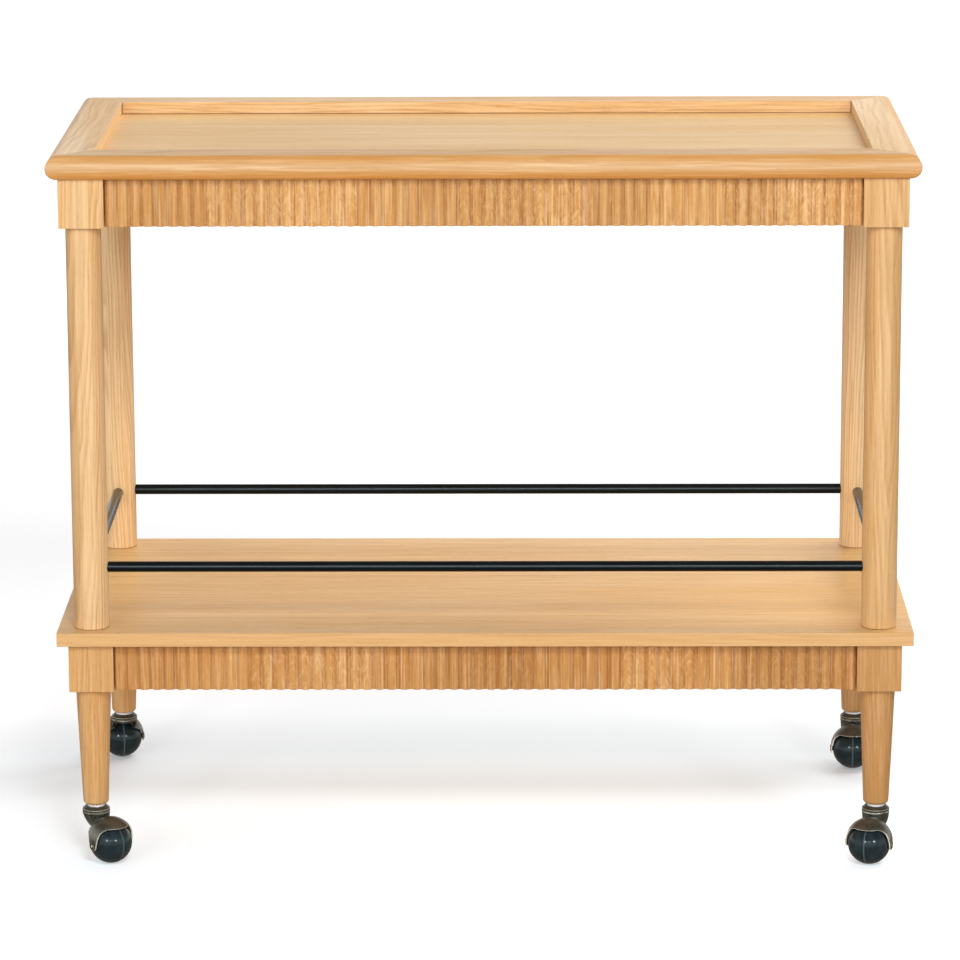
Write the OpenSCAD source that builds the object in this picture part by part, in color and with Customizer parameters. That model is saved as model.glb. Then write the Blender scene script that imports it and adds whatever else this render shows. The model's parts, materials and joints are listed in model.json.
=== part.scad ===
// Bar cart: a tray top on four turned posts, a shelf, reeded aprons and four hooded ball casters.
// Units are millimetres. The floor is z = 0, the front faces -Y, and the middle of the cart is at x = y = 0.

/* [Tray top] */
// Width of the top, left to right
cart_w = 1016; // [850:1:1250]
// Depth of the top, front to back
cart_d = 483; // [400:1:620]
// Height of the top above the floor
cart_h = 859; // [760:1:960]
// Width of each rim, from its nose to its inner face
rim_w = 54; // [46:1:66]
// Thickness of the rims
rim_t = 29; // [24:0.5:38]
// Thickness of the recessed panel
panel_t = 14; // [12:0.5:20]

/* [Posts] */
// How far the rims stand out past the blocks
rim_overhang = 13; // [4:0.5:30]
// Side of the square blocks at the top of the posts and legs
block_w = 53; // [50:0.5:66]
// Height of the block at the top of a post
upper_block_h = 57.5; // [50:0.5:90]
// Diameter of the round part of a post
post_d = 42; // [41:0.5:48]

/* [Shelf] */
// How far the shelf stands out past the blocks at the left and right
shelf_side_overhang = 13; // [0:0.5:30]
// How far the shelf stands out past the blocks at the front and back
shelf_front_overhang = 8; // [0:0.5:30]
// Thickness of the shelf
shelf_t = 16.5; // [12:0.5:24]
// Height of the shelf's upper face above the floor
shelf_h = 287.5; // [260:0.5:360]

/* [Legs] */
// Height of the block at the top of a leg
lower_block_h = 58; // [50:0.5:80]
// Diameter of the leg where it leaves its block
leg_top_d = 42; // [36:0.5:48]
// Diameter of the leg at its foot
leg_foot_d = 30.5; // [26:0.5:40]
// Rounding of the edge of the foot
foot_round = 4; // [1:0.5:6]

/* [Aprons] */
// Width of one reed at its root
reed_w = 10.6; // [8:0.1:12]
// How far a reed stands out
reed_h = 3.2; // [2:0.1:4]
// Wanted distance from one reed to the next
reed_pitch = 14.76; // [13:0.01:20]
// Thickness of the facing behind the reeds
facing_t = 7; // [5:0.5:10]
// How far the reeds lie back from the face of the blocks
apron_recess = 6; // [1:0.5:10]
// Gap between the end of a facing and its block
facing_gap = 1.1; // [0.3:0.1:3]
// How far the facings end above the bottom of the blocks
facing_lift = 1; // [0:0.5:6]
// Thickness of the rail behind a facing
rail_t = 14; // [12:0.5:16]
// How far the rails end above the bottom of the facings
rail_lift = 3; // [1:0.5:8]
// Thickness of the tenons on the rails
tenon_t = 8; // [6:0.5:10]
// Length of the tenons
tenon_l = 17; // [10:0.5:18]
// Shoulder above and below a tenon
tenon_shoulder = 7; // [4:0.5:12]
// Clearance round a tenon in its mortise
tenon_gap = 0.2; // [0.05:0.05:0.4]

/* [Gallery rods] */
// Diameter of the rods
rod_d = 12.7; // [8:0.1:13]
// Height of the middle of the rods above the shelf
rod_rise = 73; // [40:0.5:160]
// How deep a rod sits in its post
rod_seat = 14; // [8:0.5:14]

/* [Fixings] */
// Side of a corner brace along the rails, measured from the block
brace_l = 45; // [35:1:80]
// Thickness of a corner brace
brace_t = 20; // [12:0.5:28]
// Diameter of the brace screws
screw_d = 4; // [3:0.5:6]
// Diameter of the heads of the brace screws
screw_head_d = 8.4; // [8:0.1:12]
// Height of the heads of the brace screws
screw_head_t = 2.6; // [2:0.1:4]
// How far a brace screw bites into the board above
screw_bite = 9; // [5:0.5:10]
// Diameter of the studs that join posts and legs through the shelf
stud_d = 10; // [8:0.5:12]
// Clearance of a stud in the shelf, all round
stud_gap = 0.5; // [0.2:0.1:1]
// Diameter of the threaded inserts that take the studs
insert_d = 14; // [13:0.5:18]
// Length of the threaded inserts
insert_l = 25; // [15:1:35]

/* [Casters] */
// Height of a caster from the floor to the foot of its leg
caster_h = 68.2; // [66:0.1:76]
// Diameter of the ball
ball_d = 50.8; // [48:0.1:52]
// Distance from the stem back to the middle of the ball
trail = 28; // [26:0.5:29]
// Direction of the front left caster, from +X towards +Y
heading_front_left = 312; // [0:1:360]
// Direction of the front right caster
heading_front_right = 251; // [0:1:360]
// Direction of the rear left caster
heading_rear_left = 102; // [0:1:360]
// Direction of the rear right caster
heading_rear_right = 266; // [0:1:360]
// Wall of the hood
hood_wall = 1.5; // [1:0.1:2]
// Gap between the ball and the ears of the hood
ear_gap = 1; // [0.8:0.1:2.5]
// How much further the hood stands from the ball at its crest than at its ears
hood_crest = 3; // [2:0.1:4.5]
// Radius of the rounded end of an ear
ear_r = 6; // [5:0.1:8]
// Height of the visor's edge above the axle
visor_rise = 21.3; // [19:0.1:23]
// Diameter of the neck and of the two races
neck_d = 33; // [31:0.5:36]
// Diameter of the axle
axle_d = 6; // [4:0.1:8]
// Running clearance round the axle
axle_gap = 0.08; // [0.02:0.01:0.1]
// Diameter of the stem
stem_d = 8; // [7:0.1:9]
// Running clearance round the stem
stem_gap = 0.08; // [0.02:0.01:0.1]
// Length of the stem above the foot of the leg
stem_l = 34; // [28:0.5:40]
// Diameter of the socket that holds the stem
socket_d = 11; // [10:0.1:13]
// Diameter of the socket's flange
flange_d = 21; // [15:0.5:22]
// Thickness of the socket's flange
flange_t = 2.8; // [2:0.1:3.5]
// Diameter of the bearing balls between the races
bearing_d = 4.2; // [3.5:0.1:4.6]

/* [Hidden] */

$fn = 64;
oak = "#e0b680";
black_steel = "#23272c";
zinc = "#c9cbcb";
brass = "#b8964a";
bronze = "#5b5346";
rubber = "#20282d";

// How far a cutting shape runs past the face that it cuts
past = 1;

// Heights
rim_z = cart_h - rim_t;
upper_block_z = rim_z - upper_block_h;
shelf_z = shelf_h - shelf_t;
lower_block_z = shelf_z - lower_block_h;
rod_z = shelf_h + rod_rise;

// Middles of the posts and legs
post_x = cart_w / 2 - rim_overhang - block_w / 2;
post_y = cart_d / 2 - rim_overhang - block_w / 2;

// Outer faces of the blocks
face_x = post_x + block_w / 2;
face_y = post_y + block_w / 2;

// Clear lengths between the blocks
span_x = 2 * post_x - block_w;
span_y = 2 * post_y - block_w;

// Size of the shelf
shelf_w = 2 * (face_x + shelf_side_overhang);
shelf_d = 2 * (face_y + shelf_front_overhang);

// Depths behind the outer face of the blocks
facing_back = apron_recess + reed_h + facing_t;
rail_back = facing_back + rail_t;
tenon_near = facing_back + (rail_t - tenon_t) / 2;

// Where a corner brace meets the block and the rails, from the middle of the post
brace_block = block_w / 2;
brace_rail = rail_back - block_w / 2;
slope_mid = (brace_rail + brace_block + brace_l) / 2;
brace_screw = (brace_block + slope_mid) / 2;

// Reeds
reed_r = (reed_w * reed_w / 4 + reed_h * reed_h) / (2 * reed_h);
reed_land = 0.4;
foot_steps = 8;

// Caster, from the foot of the leg down: cap with its cone and skirt, gap, and lower race
axle_z = ball_d / 2;
cap_z = caster_h - flange_t;
cap_cone_h = 3.6;
cap_skirt_h = 2.5;
cap_skirt_z = cap_z - cap_cone_h - cap_skirt_h;
cap_shoulder = 4;
cap_top_d = neck_d - 2 * cap_shoulder;
race_gap = 0.6;
race_z = cap_skirt_z - race_gap;
race_t = 3;
race_plate_t = 2;
cap_wall = 1.5;

// Bearing balls, seated in the cap and running in a groove of the lower race
bearing_inset = 5.5;
bearing_pcd = neck_d - 2 * bearing_inset;
bearing_space = 0.3;
bearing_count = floor(180 / asin((bearing_d + bearing_space) / bearing_pcd));
bearing_rise = 1.3;
bearing_z = race_z + bearing_rise;
bearing_gap = 0.1;
cap_seat_gap = 0.05;
cap_roof_rise = 1.1;
cap_roof_z = bearing_z + cap_roof_rise;

// Hood: dome round the ball, neck up to the lower race, visor in front and an open arch behind
hood_r = ball_d / 2 + ear_gap + hood_wall;
race_lip = 0.3;
neck_taper = 2;
neck_top_d = neck_d - 2 * race_lip;
neck_foot_d = neck_d - 2 * neck_taper;
visor_round = 9.5;
ear_flare = 2.3;
round_x = ear_r + ear_flare + visor_round;
round_z = visor_rise - visor_round;
ear_tilt = atan2(round_z, round_x) - acos((ear_r + visor_round) / norm([round_x, round_z]));
arch_r = 14;
cusp_lead = 10;
cusp_x = -trail + cusp_lead;
cusp_z = 14.5;
web_lag = 6;
web_x = -trail - web_lag;
web_z = race_z - race_t - axle_z;
reach = 80;

// Axle, rivets and stem
rivet_lip = 0.9;
rivet_d = axle_d + 2 * rivet_lip;
rivet_t = 1.3;
rivet_sink = 0.4;
rivet_seat_y = hood_r - rivet_sink;
stem_head_lip = 2.5;
stem_head_d = stem_d + 2 * stem_head_lip;
stem_head_t = 2;
stem_head_gap = 0.3;
stem_groove_depth = 0.8;
stem_groove_d = stem_d - 2 * stem_groove_depth;
stem_groove_w = 3;
stem_groove_drop = 8;
socket_spare = 3;
socket_l = stem_l + socket_spare;
seam_w = 1;
seam_depth = 0.25;

// Carries a shape made for the front left corner, with the cart towards +X and +Y, to any corner
module to_corner(side_x, side_y) {
    translate([side_x * post_x, side_y * post_y, 0])
        mirror([side_x > 0 ? 1 : 0, 0, 0])
            mirror([0, side_y > 0 ? 1 : 0, 0])
                children();
}

module at_corners() {
    for (side_x = [-1, 1], side_y = [-1, 1])
        to_corner(side_x, side_y) children();
}

// Swaps X and Y, so that what runs along the front runs along the side
module along_side() {
    mirror([1, -1, 0]) children();
}

// Puts a frame piece made for the front on the given side: 0 front, 1 right, 2 back, 3 left
module on_side(side) {
    rotate([0, 0, 90 * side]) children();
}

// Section of a rim: flat top and bottom, full half-round nose, and a square inner face
module rim_profile() {
    translate([rim_t / 2, rim_t / 2]) circle(d = rim_t);
    translate([rim_t / 2, 0]) square([rim_w - rim_t / 2, rim_t]);
}

// A rim along X with its nose at y = -nose_y, mitred at both ends
module rim(length, nose_y) {
    far = length / 2 + past;
    near = length / 2 - rim_w - past;
    color(oak)
        intersection() {
            translate([-far, -nose_y, rim_z])
                rotate([90, 0, 90])
                    linear_extrude(2 * far) rim_profile();
            translate([0, -nose_y, rim_z - past])
                linear_extrude(rim_t + 2 * past)
                    polygon([
                        [-far, -past], [far, -past],
                        [near, rim_w + past], [-near, rim_w + past]
                    ]);
        }
}

module brace_screw_holes(z, depth) {
    at_corners() brace_axis() translate([0, 0, z]) cylinder(d = screw_d, h = depth);
}

module tray_panel() {
    color(oak)
        difference() {
            translate([rim_w - cart_w / 2, rim_w - cart_d / 2, rim_z])
                cube([cart_w - 2 * rim_w, cart_d - 2 * rim_w, panel_t]);
            brace_screw_holes(rim_z - past, screw_bite + past);
        }
}

// Space for one tenon in the front left corner, for a rail along X
module mortise(bottom, top) {
    translate([
        block_w / 2 - tenon_l - tenon_gap,
        -block_w / 2 + tenon_near - tenon_gap,
        bottom + tenon_shoulder - tenon_gap
    ])
        cube([
            tenon_l + tenon_gap + past,
            tenon_t + 2 * tenon_gap,
            top - bottom - 2 * (tenon_shoulder - tenon_gap)
        ]);
}

module mortises(bottom, top) {
    mortise(bottom, top);
    along_side() mortise(bottom, top);
}

module rod_bore() {
    translate([post_d / 2 - rod_seat, 0, rod_z])
        rotate([0, 90, 0]) cylinder(d = rod_d, h = rod_seat + past);
}

module block(bottom, top) {
    translate([-block_w / 2, -block_w / 2, bottom]) cube([block_w, block_w, top - bottom]);
}

// A square block turned round below, in one piece
module post(side_x, side_y) {
    color(oak)
        to_corner(side_x, side_y)
            difference() {
                union() {
                    block(upper_block_z, rim_z);
                    translate([0, 0, shelf_h])
                        cylinder(d = post_d, h = upper_block_z - shelf_h + past);
                }
                mortises(upper_block_z + facing_lift + rail_lift, rim_z);
                rod_bore();
                along_side() rod_bore();
                translate([0, 0, shelf_h - past]) cylinder(d = insert_d, h = insert_l + past);
            }
}

// Outline of a leg below its block, with the edge of the foot rounded
function foot_arc() = [
    for (i = [0 : foot_steps])
        let (a = 90 * i / foot_steps)
            [leg_foot_d / 2 - foot_round * (1 - sin(a)), caster_h + foot_round * (1 - cos(a))]
];

module leg(side_x, side_y) {
    color(oak)
        to_corner(side_x, side_y)
            difference() {
                union() {
                    block(lower_block_z, shelf_z);
                    rotate_extrude()
                        polygon(concat(
                            [[0, caster_h]],
                            foot_arc(),
                            [[leg_top_d / 2, lower_block_z], [leg_top_d / 2, lower_block_z + past]],
                            [[0, lower_block_z + past]]
                        ));
                }
                mortises(lower_block_z + facing_lift + rail_lift, shelf_z);
                translate([0, 0, shelf_z - insert_l]) cylinder(d = insert_d, h = insert_l + past);
                translate([0, 0, caster_h - past]) cylinder(d = socket_d, h = socket_l + past);
            }
}

// Plan of a reeded facing along X: reeds on -Y, standing out from the line y = 0
module reeded_plan(length) {
    run = length - reed_w - 2 * reed_land;
    steps = max(1, round(run / reed_pitch));
    intersection() {
        union() {
            for (i = [0 : steps])
                translate([run * (i / steps - 0.5), reed_r - reed_h]) circle(r = reed_r);
            translate([-length / 2, 0]) square([length, facing_t]);
        }
        translate([-length / 2, -reed_h - past]) square([length, reed_h + past + facing_t]);
    }
}

// A facing along X in front of a rail whose blocks have their outer face at y = -face_y
module reeds(span, face_y, bottom, top) {
    color(oak)
        translate([0, -face_y + apron_recess + reed_h, bottom + facing_lift])
            linear_extrude(top - bottom - facing_lift) reeded_plan(span - 2 * facing_gap);
}

// A rail along X, with a tenon at each end
module rail(span, face_y, bottom, top) {
    low = bottom + facing_lift + rail_lift;
    color(oak)
        union() {
            translate([-span / 2, -face_y + facing_back, low]) cube([span, rail_t, top - low]);
            translate([-span / 2 - tenon_l, -face_y + tenon_near, low + tenon_shoulder])
                cube([span + 2 * tenon_l, tenon_t, top - low - 2 * tenon_shoulder]);
        }
}

module upper_reeds(side) {
    on_side(side)
        reeds(side % 2 == 0 ? span_x : span_y, side % 2 == 0 ? face_y : face_x, upper_block_z, rim_z);
}

module lower_reeds(side) {
    on_side(side)
        reeds(side % 2 == 0 ? span_x : span_y, side % 2 == 0 ? face_y : face_x, lower_block_z, shelf_z);
}

module upper_rail(side) {
    on_side(side)
        rail(side % 2 == 0 ? span_x : span_y, side % 2 == 0 ? face_y : face_x, upper_block_z, rim_z);
}

module lower_rail(side) {
    on_side(side)
        rail(side % 2 == 0 ? span_x : span_y, side % 2 == 0 ? face_y : face_x, lower_block_z, shelf_z);
}

// Moves to the screw of a corner brace, in the front left corner
module brace_axis() {
    translate([brace_screw, brace_screw, 0]) children();
}

// Corner braces lie against the block and both rails, with a sloping inner side
module braces(top) {
    color(oak)
        at_corners()
            difference() {
                translate([0, 0, top - brace_t])
                    linear_extrude(brace_t)
                        polygon([
                            [brace_block, brace_rail], [brace_block + brace_l, brace_rail],
                            [brace_rail, brace_block + brace_l], [brace_rail, brace_block],
                            [brace_block, brace_block]
                        ]);
                brace_axis() translate([0, 0, top - brace_t - past])
                    cylinder(d = screw_d, h = brace_t + 2 * past);
            }
}

module brace_screws(top) {
    color(zinc)
        at_corners() brace_axis() {
            translate([0, 0, top - brace_t]) cylinder(d = screw_d, h = brace_t + screw_bite);
            translate([0, 0, top - brace_t - screw_head_t]) cylinder(d = screw_head_d, h = screw_head_t);
        }
}

// A rod along X, let into the posts at both ends
module rod(middles, y) {
    length = middles - post_d + 2 * rod_seat;
    color(black_steel)
        translate([-length / 2, y, rod_z]) rotate([0, 90, 0]) cylinder(d = rod_d, h = length);
}

module shelf() {
    color(oak)
        difference() {
            translate([-shelf_w / 2, -shelf_d / 2, shelf_z]) cube([shelf_w, shelf_d, shelf_t]);
            at_corners() translate([0, 0, shelf_z - past])
                cylinder(d = stud_d + 2 * stud_gap, h = shelf_t + 2 * past);
            brace_screw_holes(shelf_z - past, screw_bite + past);
        }
}

module post_studs() {
    color(zinc)
        at_corners() translate([0, 0, shelf_z - insert_l])
            cylinder(d = stud_d, h = shelf_t + 2 * insert_l);
}

module stud_inserts() {
    color(brass)
        at_corners()
            for (z = [shelf_h, shelf_z - insert_l])
                translate([0, 0, z])
                    difference() {
                        cylinder(d = insert_d, h = insert_l);
                        translate([0, 0, -past]) cylinder(d = stud_d, h = insert_l + 2 * past);
                    }
}

// Steel sleeve in the foot of the leg, with its bright flange against the wood
module caster_sockets() {
    color(zinc)
        at_corners() translate([0, 0, caster_h])
            difference() {
                union() {
                    cylinder(d = socket_d, h = socket_l);
                    translate([0, 0, -flange_t]) cylinder(d = flange_d, h = flange_t);
                }
                translate([0, 0, -flange_t - past])
                    cylinder(d = stem_d, h = socket_l + flange_t + 2 * past);
            }
}

// Stem with a grip groove above and a riveted head below the lower race
module caster_stems() {
    head_top = race_z - race_plate_t - stem_head_gap;
    color(zinc)
        at_corners()
            difference() {
                union() {
                    translate([0, 0, head_top]) cylinder(d = stem_d, h = caster_h + stem_l - head_top);
                    translate([0, 0, head_top - stem_head_t]) cylinder(d = stem_head_d, h = stem_head_t);
                }
                translate([0, 0, caster_h + stem_l - stem_groove_drop])
                    difference() {
                        cylinder(d = stem_d + past, h = stem_groove_w);
                        translate([0, 0, -past]) cylinder(d = stem_groove_d, h = stem_groove_w + 2 * past);
                    }
            }
}

module bearing_groove(clearance) {
    translate([0, 0, bearing_z])
        rotate_extrude() translate([bearing_pcd / 2, 0]) circle(d = bearing_d + 2 * clearance);
}

module bearing_balls() {
    color(zinc)
        at_corners() translate([0, 0, bearing_z])
            for (i = [0 : bearing_count - 1])
                rotate([0, 0, 360 * i / bearing_count])
                    translate([bearing_pcd / 2, 0, 0]) sphere(d = bearing_d);
}

// Upper race: a fixed cup that covers the bearing balls
module cap(side_x, side_y) {
    color(bronze)
        to_corner(side_x, side_y)
            difference() {
                rotate_extrude()
                    polygon([
                        [stem_d / 2, cap_roof_z], [neck_d / 2 - cap_wall, cap_roof_z],
                        [neck_d / 2 - cap_wall, cap_skirt_z], [neck_d / 2, cap_skirt_z],
                        [neck_d / 2, cap_z - cap_cone_h], [cap_top_d / 2, cap_z], [stem_d / 2, cap_z]
                    ]);
                bearing_groove(cap_seat_gap);
            }
}

// Turns a caster shape made with its stem at x = 0 and its ball towards +X
module caster(side_x, side_y, heading) {
    translate([side_x * post_x, side_y * post_y, 0]) rotate([0, 0, heading]) children();
}

// Solid of revolution about the axle, a little wider in the middle than at the ears
module dome(radius) {
    translate([trail, 0, axle_z])
        rotate([90, 0, 0])
            rotate_extrude()
                intersection() {
                    translate([hood_crest, 0]) circle(r = radius);
                    translate([0, -radius - past]) square([radius + hood_crest + past, 2 * (radius + past)]);
                }
}

// Neck that widens upwards to the lower race
module neck(inset, top) {
    slope = (neck_top_d - neck_foot_d) / 2 / (race_z - race_t - axle_z);
    translate([0, 0, axle_z])
        cylinder(
            r1 = neck_foot_d / 2 - inset,
            r2 = neck_foot_d / 2 - inset + slope * (top - axle_z),
            h = top - axle_z
        );
}

// Side view of all that is cut away from the hood: below the visor, round the ears, and behind.
// The ear's front edge runs straight from its rounded end to the round under the visor.
module hood_cuts() {
    difference() {
        translate([-reach, -reach]) square([2 * reach, reach]);
        circle(r = ear_r);
    }
    difference() {
        polygon([
            ear_r * [cos(ear_tilt), sin(ear_tilt)],
            [round_x, round_z] - visor_round * [cos(ear_tilt), sin(ear_tilt)],
            [round_x, round_z], [round_x, visor_rise], [reach, visor_rise], [reach, -reach],
            [ear_r * cos(ear_tilt), -reach]
        ]);
        circle(r = ear_r);
    }
    translate([round_x, round_z]) circle(r = visor_round);
    translate([-ear_r - arch_r, 0]) circle(r = arch_r);
    polygon([[cusp_x, cusp_z], [web_x, web_z], [-reach, web_z], [-reach, -past], [cusp_x, -past]]);
}

module hood(side_x, side_y, heading) {
    color(bronze)
        caster(side_x, side_y, heading)
            difference() {
                union() {
                    difference() {
                        union() {
                            dome(hood_r);
                            neck(0, race_z - race_t);
                        }
                        translate([trail, reach / 2, axle_z])
                            rotate([90, 0, 0]) linear_extrude(reach) hood_cuts();
                    }
                    translate([0, 0, race_z - race_t]) cylinder(d = neck_d, h = race_t);
                }
                dome(hood_r - hood_wall);
                neck(hood_wall, race_z - race_plate_t);
                translate([0, 0, race_z - race_t]) cylinder(d = stem_d + 2 * stem_gap, h = race_t + past);
                bearing_groove(bearing_gap);
                translate([trail, 0, axle_z]) rotate([90, 0, 0]) {
                    cylinder(d = axle_d, h = reach, center = true);
                    for (end = [-1, 1])
                        translate([0, 0, end * (rivet_seat_y + rivet_t)])
                            cylinder(d = rivet_d, h = 2 * rivet_t, center = true);
                }
            }
}

module axle(side_x, side_y, heading) {
    color(bronze)
        caster(side_x, side_y, heading)
            translate([trail, 0, axle_z]) rotate([90, 0, 0]) {
                cylinder(d = axle_d, h = 2 * rivet_seat_y, center = true);
                for (end = [-1, 1])
                    translate([0, 0, end * (rivet_seat_y + rivet_t / 2)])
                        cylinder(d = rivet_d, h = rivet_t, center = true);
            }
}

// Ball with a bore for the axle and the moulding seam round its middle
module ball(side_x, side_y, heading) {
    color(rubber)
        caster(side_x, side_y, heading)
            translate([trail, 0, axle_z]) rotate([90, 0, 0])
                difference() {
                    sphere(d = ball_d);
                    cylinder(d = axle_d + 2 * axle_gap, h = ball_d + 2 * past, center = true);
                    difference() {
                        cylinder(d = ball_d + past, h = seam_w, center = true);
                        cylinder(d = ball_d - 2 * seam_depth, h = seam_w + past, center = true);
                    }
                }
}

rim(cart_w, cart_d / 2);  // rim_front
on_side(2) rim(cart_w, cart_d / 2);  // rim_back
on_side(3) rim(cart_d, cart_w / 2);  // rim_left
on_side(1) rim(cart_d, cart_w / 2);  // rim_right
tray_panel();
post(-1, -1);  // post_front_left
post(1, -1);  // post_front_right
post(-1, 1);  // post_rear_left
post(1, 1);  // post_rear_right
upper_rail(0);  // upper_rail_front
upper_rail(2);  // upper_rail_back
upper_rail(3);  // upper_rail_left
upper_rail(1);  // upper_rail_right
upper_reeds(0);  // upper_reeds_front
upper_reeds(2);  // upper_reeds_back
upper_reeds(3);  // upper_reeds_left
upper_reeds(1);  // upper_reeds_right
braces(rim_z);  // upper_braces
brace_screws(rim_z);  // upper_brace_screws
rod(2 * post_x, -post_y);  // rod_front
rod(2 * post_x, post_y);  // rod_back
on_side(1) rod(2 * post_y, post_x);  // rod_left
on_side(1) rod(2 * post_y, -post_x);  // rod_right
shelf();
post_studs();
stud_inserts();
leg(-1, -1);  // leg_front_left
leg(1, -1);  // leg_front_right
leg(-1, 1);  // leg_rear_left
leg(1, 1);  // leg_rear_right
lower_rail(0);  // lower_rail_front
lower_rail(2);  // lower_rail_back
lower_rail(3);  // lower_rail_left
lower_rail(1);  // lower_rail_right
lower_reeds(0);  // lower_reeds_front
lower_reeds(2);  // lower_reeds_back
lower_reeds(3);  // lower_reeds_left
lower_reeds(1);  // lower_reeds_right
braces(shelf_z);  // lower_braces
brace_screws(shelf_z);  // lower_brace_screws
caster_sockets();
caster_stems();
bearing_balls();
cap(-1, -1);  // cap_front_left
cap(1, -1);  // cap_front_right
cap(-1, 1);  // cap_rear_left
cap(1, 1);  // cap_rear_right
hood(-1, -1, heading_front_left);  // hood_front_left
hood(1, -1, heading_front_right);  // hood_front_right
hood(-1, 1, heading_rear_left);  // hood_rear_left
hood(1, 1, heading_rear_right);  // hood_rear_right
axle(-1, -1, heading_front_left);  // axle_front_left
axle(1, -1, heading_front_right);  // axle_front_right
axle(-1, 1, heading_rear_left);  // axle_rear_left
axle(1, 1, heading_rear_right);  // axle_rear_right
ball(-1, -1, heading_front_left);  // ball_front_left
ball(1, -1, heading_front_right);  // ball_front_right
ball(-1, 1, heading_rear_left);  // ball_rear_left
ball(1, 1, heading_rear_right);  // ball_rear_right
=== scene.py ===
import json
import math
from functools import partial

import bpy
from mathutils import Matrix, Vector


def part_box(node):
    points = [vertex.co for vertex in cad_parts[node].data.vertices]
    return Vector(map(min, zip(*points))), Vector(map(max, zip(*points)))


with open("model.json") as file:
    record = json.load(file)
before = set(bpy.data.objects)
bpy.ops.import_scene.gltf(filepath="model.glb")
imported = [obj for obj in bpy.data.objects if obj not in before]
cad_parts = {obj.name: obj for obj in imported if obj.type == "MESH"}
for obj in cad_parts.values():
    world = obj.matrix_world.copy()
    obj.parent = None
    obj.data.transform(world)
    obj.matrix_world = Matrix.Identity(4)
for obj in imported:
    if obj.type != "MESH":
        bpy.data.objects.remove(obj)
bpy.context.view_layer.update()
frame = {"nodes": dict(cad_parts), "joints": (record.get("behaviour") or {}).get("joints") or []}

nodes = frame["nodes"]

# Sizes of the cart in metres
RIM_W = 0.054
# Half the width of a post's square block
BLOCK_HALF = 0.0265
# Thickness of a facing over its crests, height of its reeds, and their pitch on the long and short sides
FACING_T, REED_H = 0.0102, 0.0032
PITCH = {"front": 0.0147525, "side": 0.01467}
HOOD_R = 0.0279
# Strips that the boards are glued from: first edge and width
PANEL_STRIPS = (-0.1875, 0.0938)
SHELF_STRIPS = (-0.2365, 0.0946)
POST_STRIP = 0.0177
# Heights on the casters: the rims of the two races and the grooves beside them
RACE_RIM, RACE_GROOVE = 0.0583, 0.0564
CAP_RIM, CAP_GROOVE, CAP_FOOT = 0.0617, 0.0606, 0.0595

# Places in metres, from the frame
PANEL_X, PANEL_Y, PANEL_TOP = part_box("tray_panel")[1]
RIM_X, RIM_Y = PANEL_X + RIM_W, PANEL_Y + RIM_W
RIM_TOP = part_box("rim_front")[1].z
# Height of the middle of the rims' half-round nose
NOSE_Z = RIM_TOP - 0.0122
SHELF_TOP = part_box("shelf")[1].z
CREST_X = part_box("upper_reeds_right")[0].x + FACING_T
CREST_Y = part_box("upper_reeds_back")[0].y + FACING_T
JOINTS = {joint["name"]: joint["pos_m"] for joint in frame["joints"]}
CORNERS = ("front_left", "front_right", "rear_left", "rear_right")
SIDES = ("front", "back", "left", "right")

# Screen colours that several materials share
LIGHT, MID, DARK, PORE = "#E6C190", "#D9AB6F", "#B27F44", "#85552A"
# Dark line of joints, which also paints shade in the creases beside them
JOINT_AND_SHADE_LINE = "#5E3714"
# Dark colour of painted shade in grooves and round rivets
PAINTED_SHADE = "#1B1A16"


def tone(code):
    """Linear colour of a screen colour such as #E0B680."""
    parts = [int(code[i : i + 2], 16) / 255 for i in (1, 3, 5)]
    return tuple(p / 12.92 if p <= 0.04045 else ((p + 0.055) / 1.055) ** 2.4 for p in parts) + (1.0,)


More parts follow.
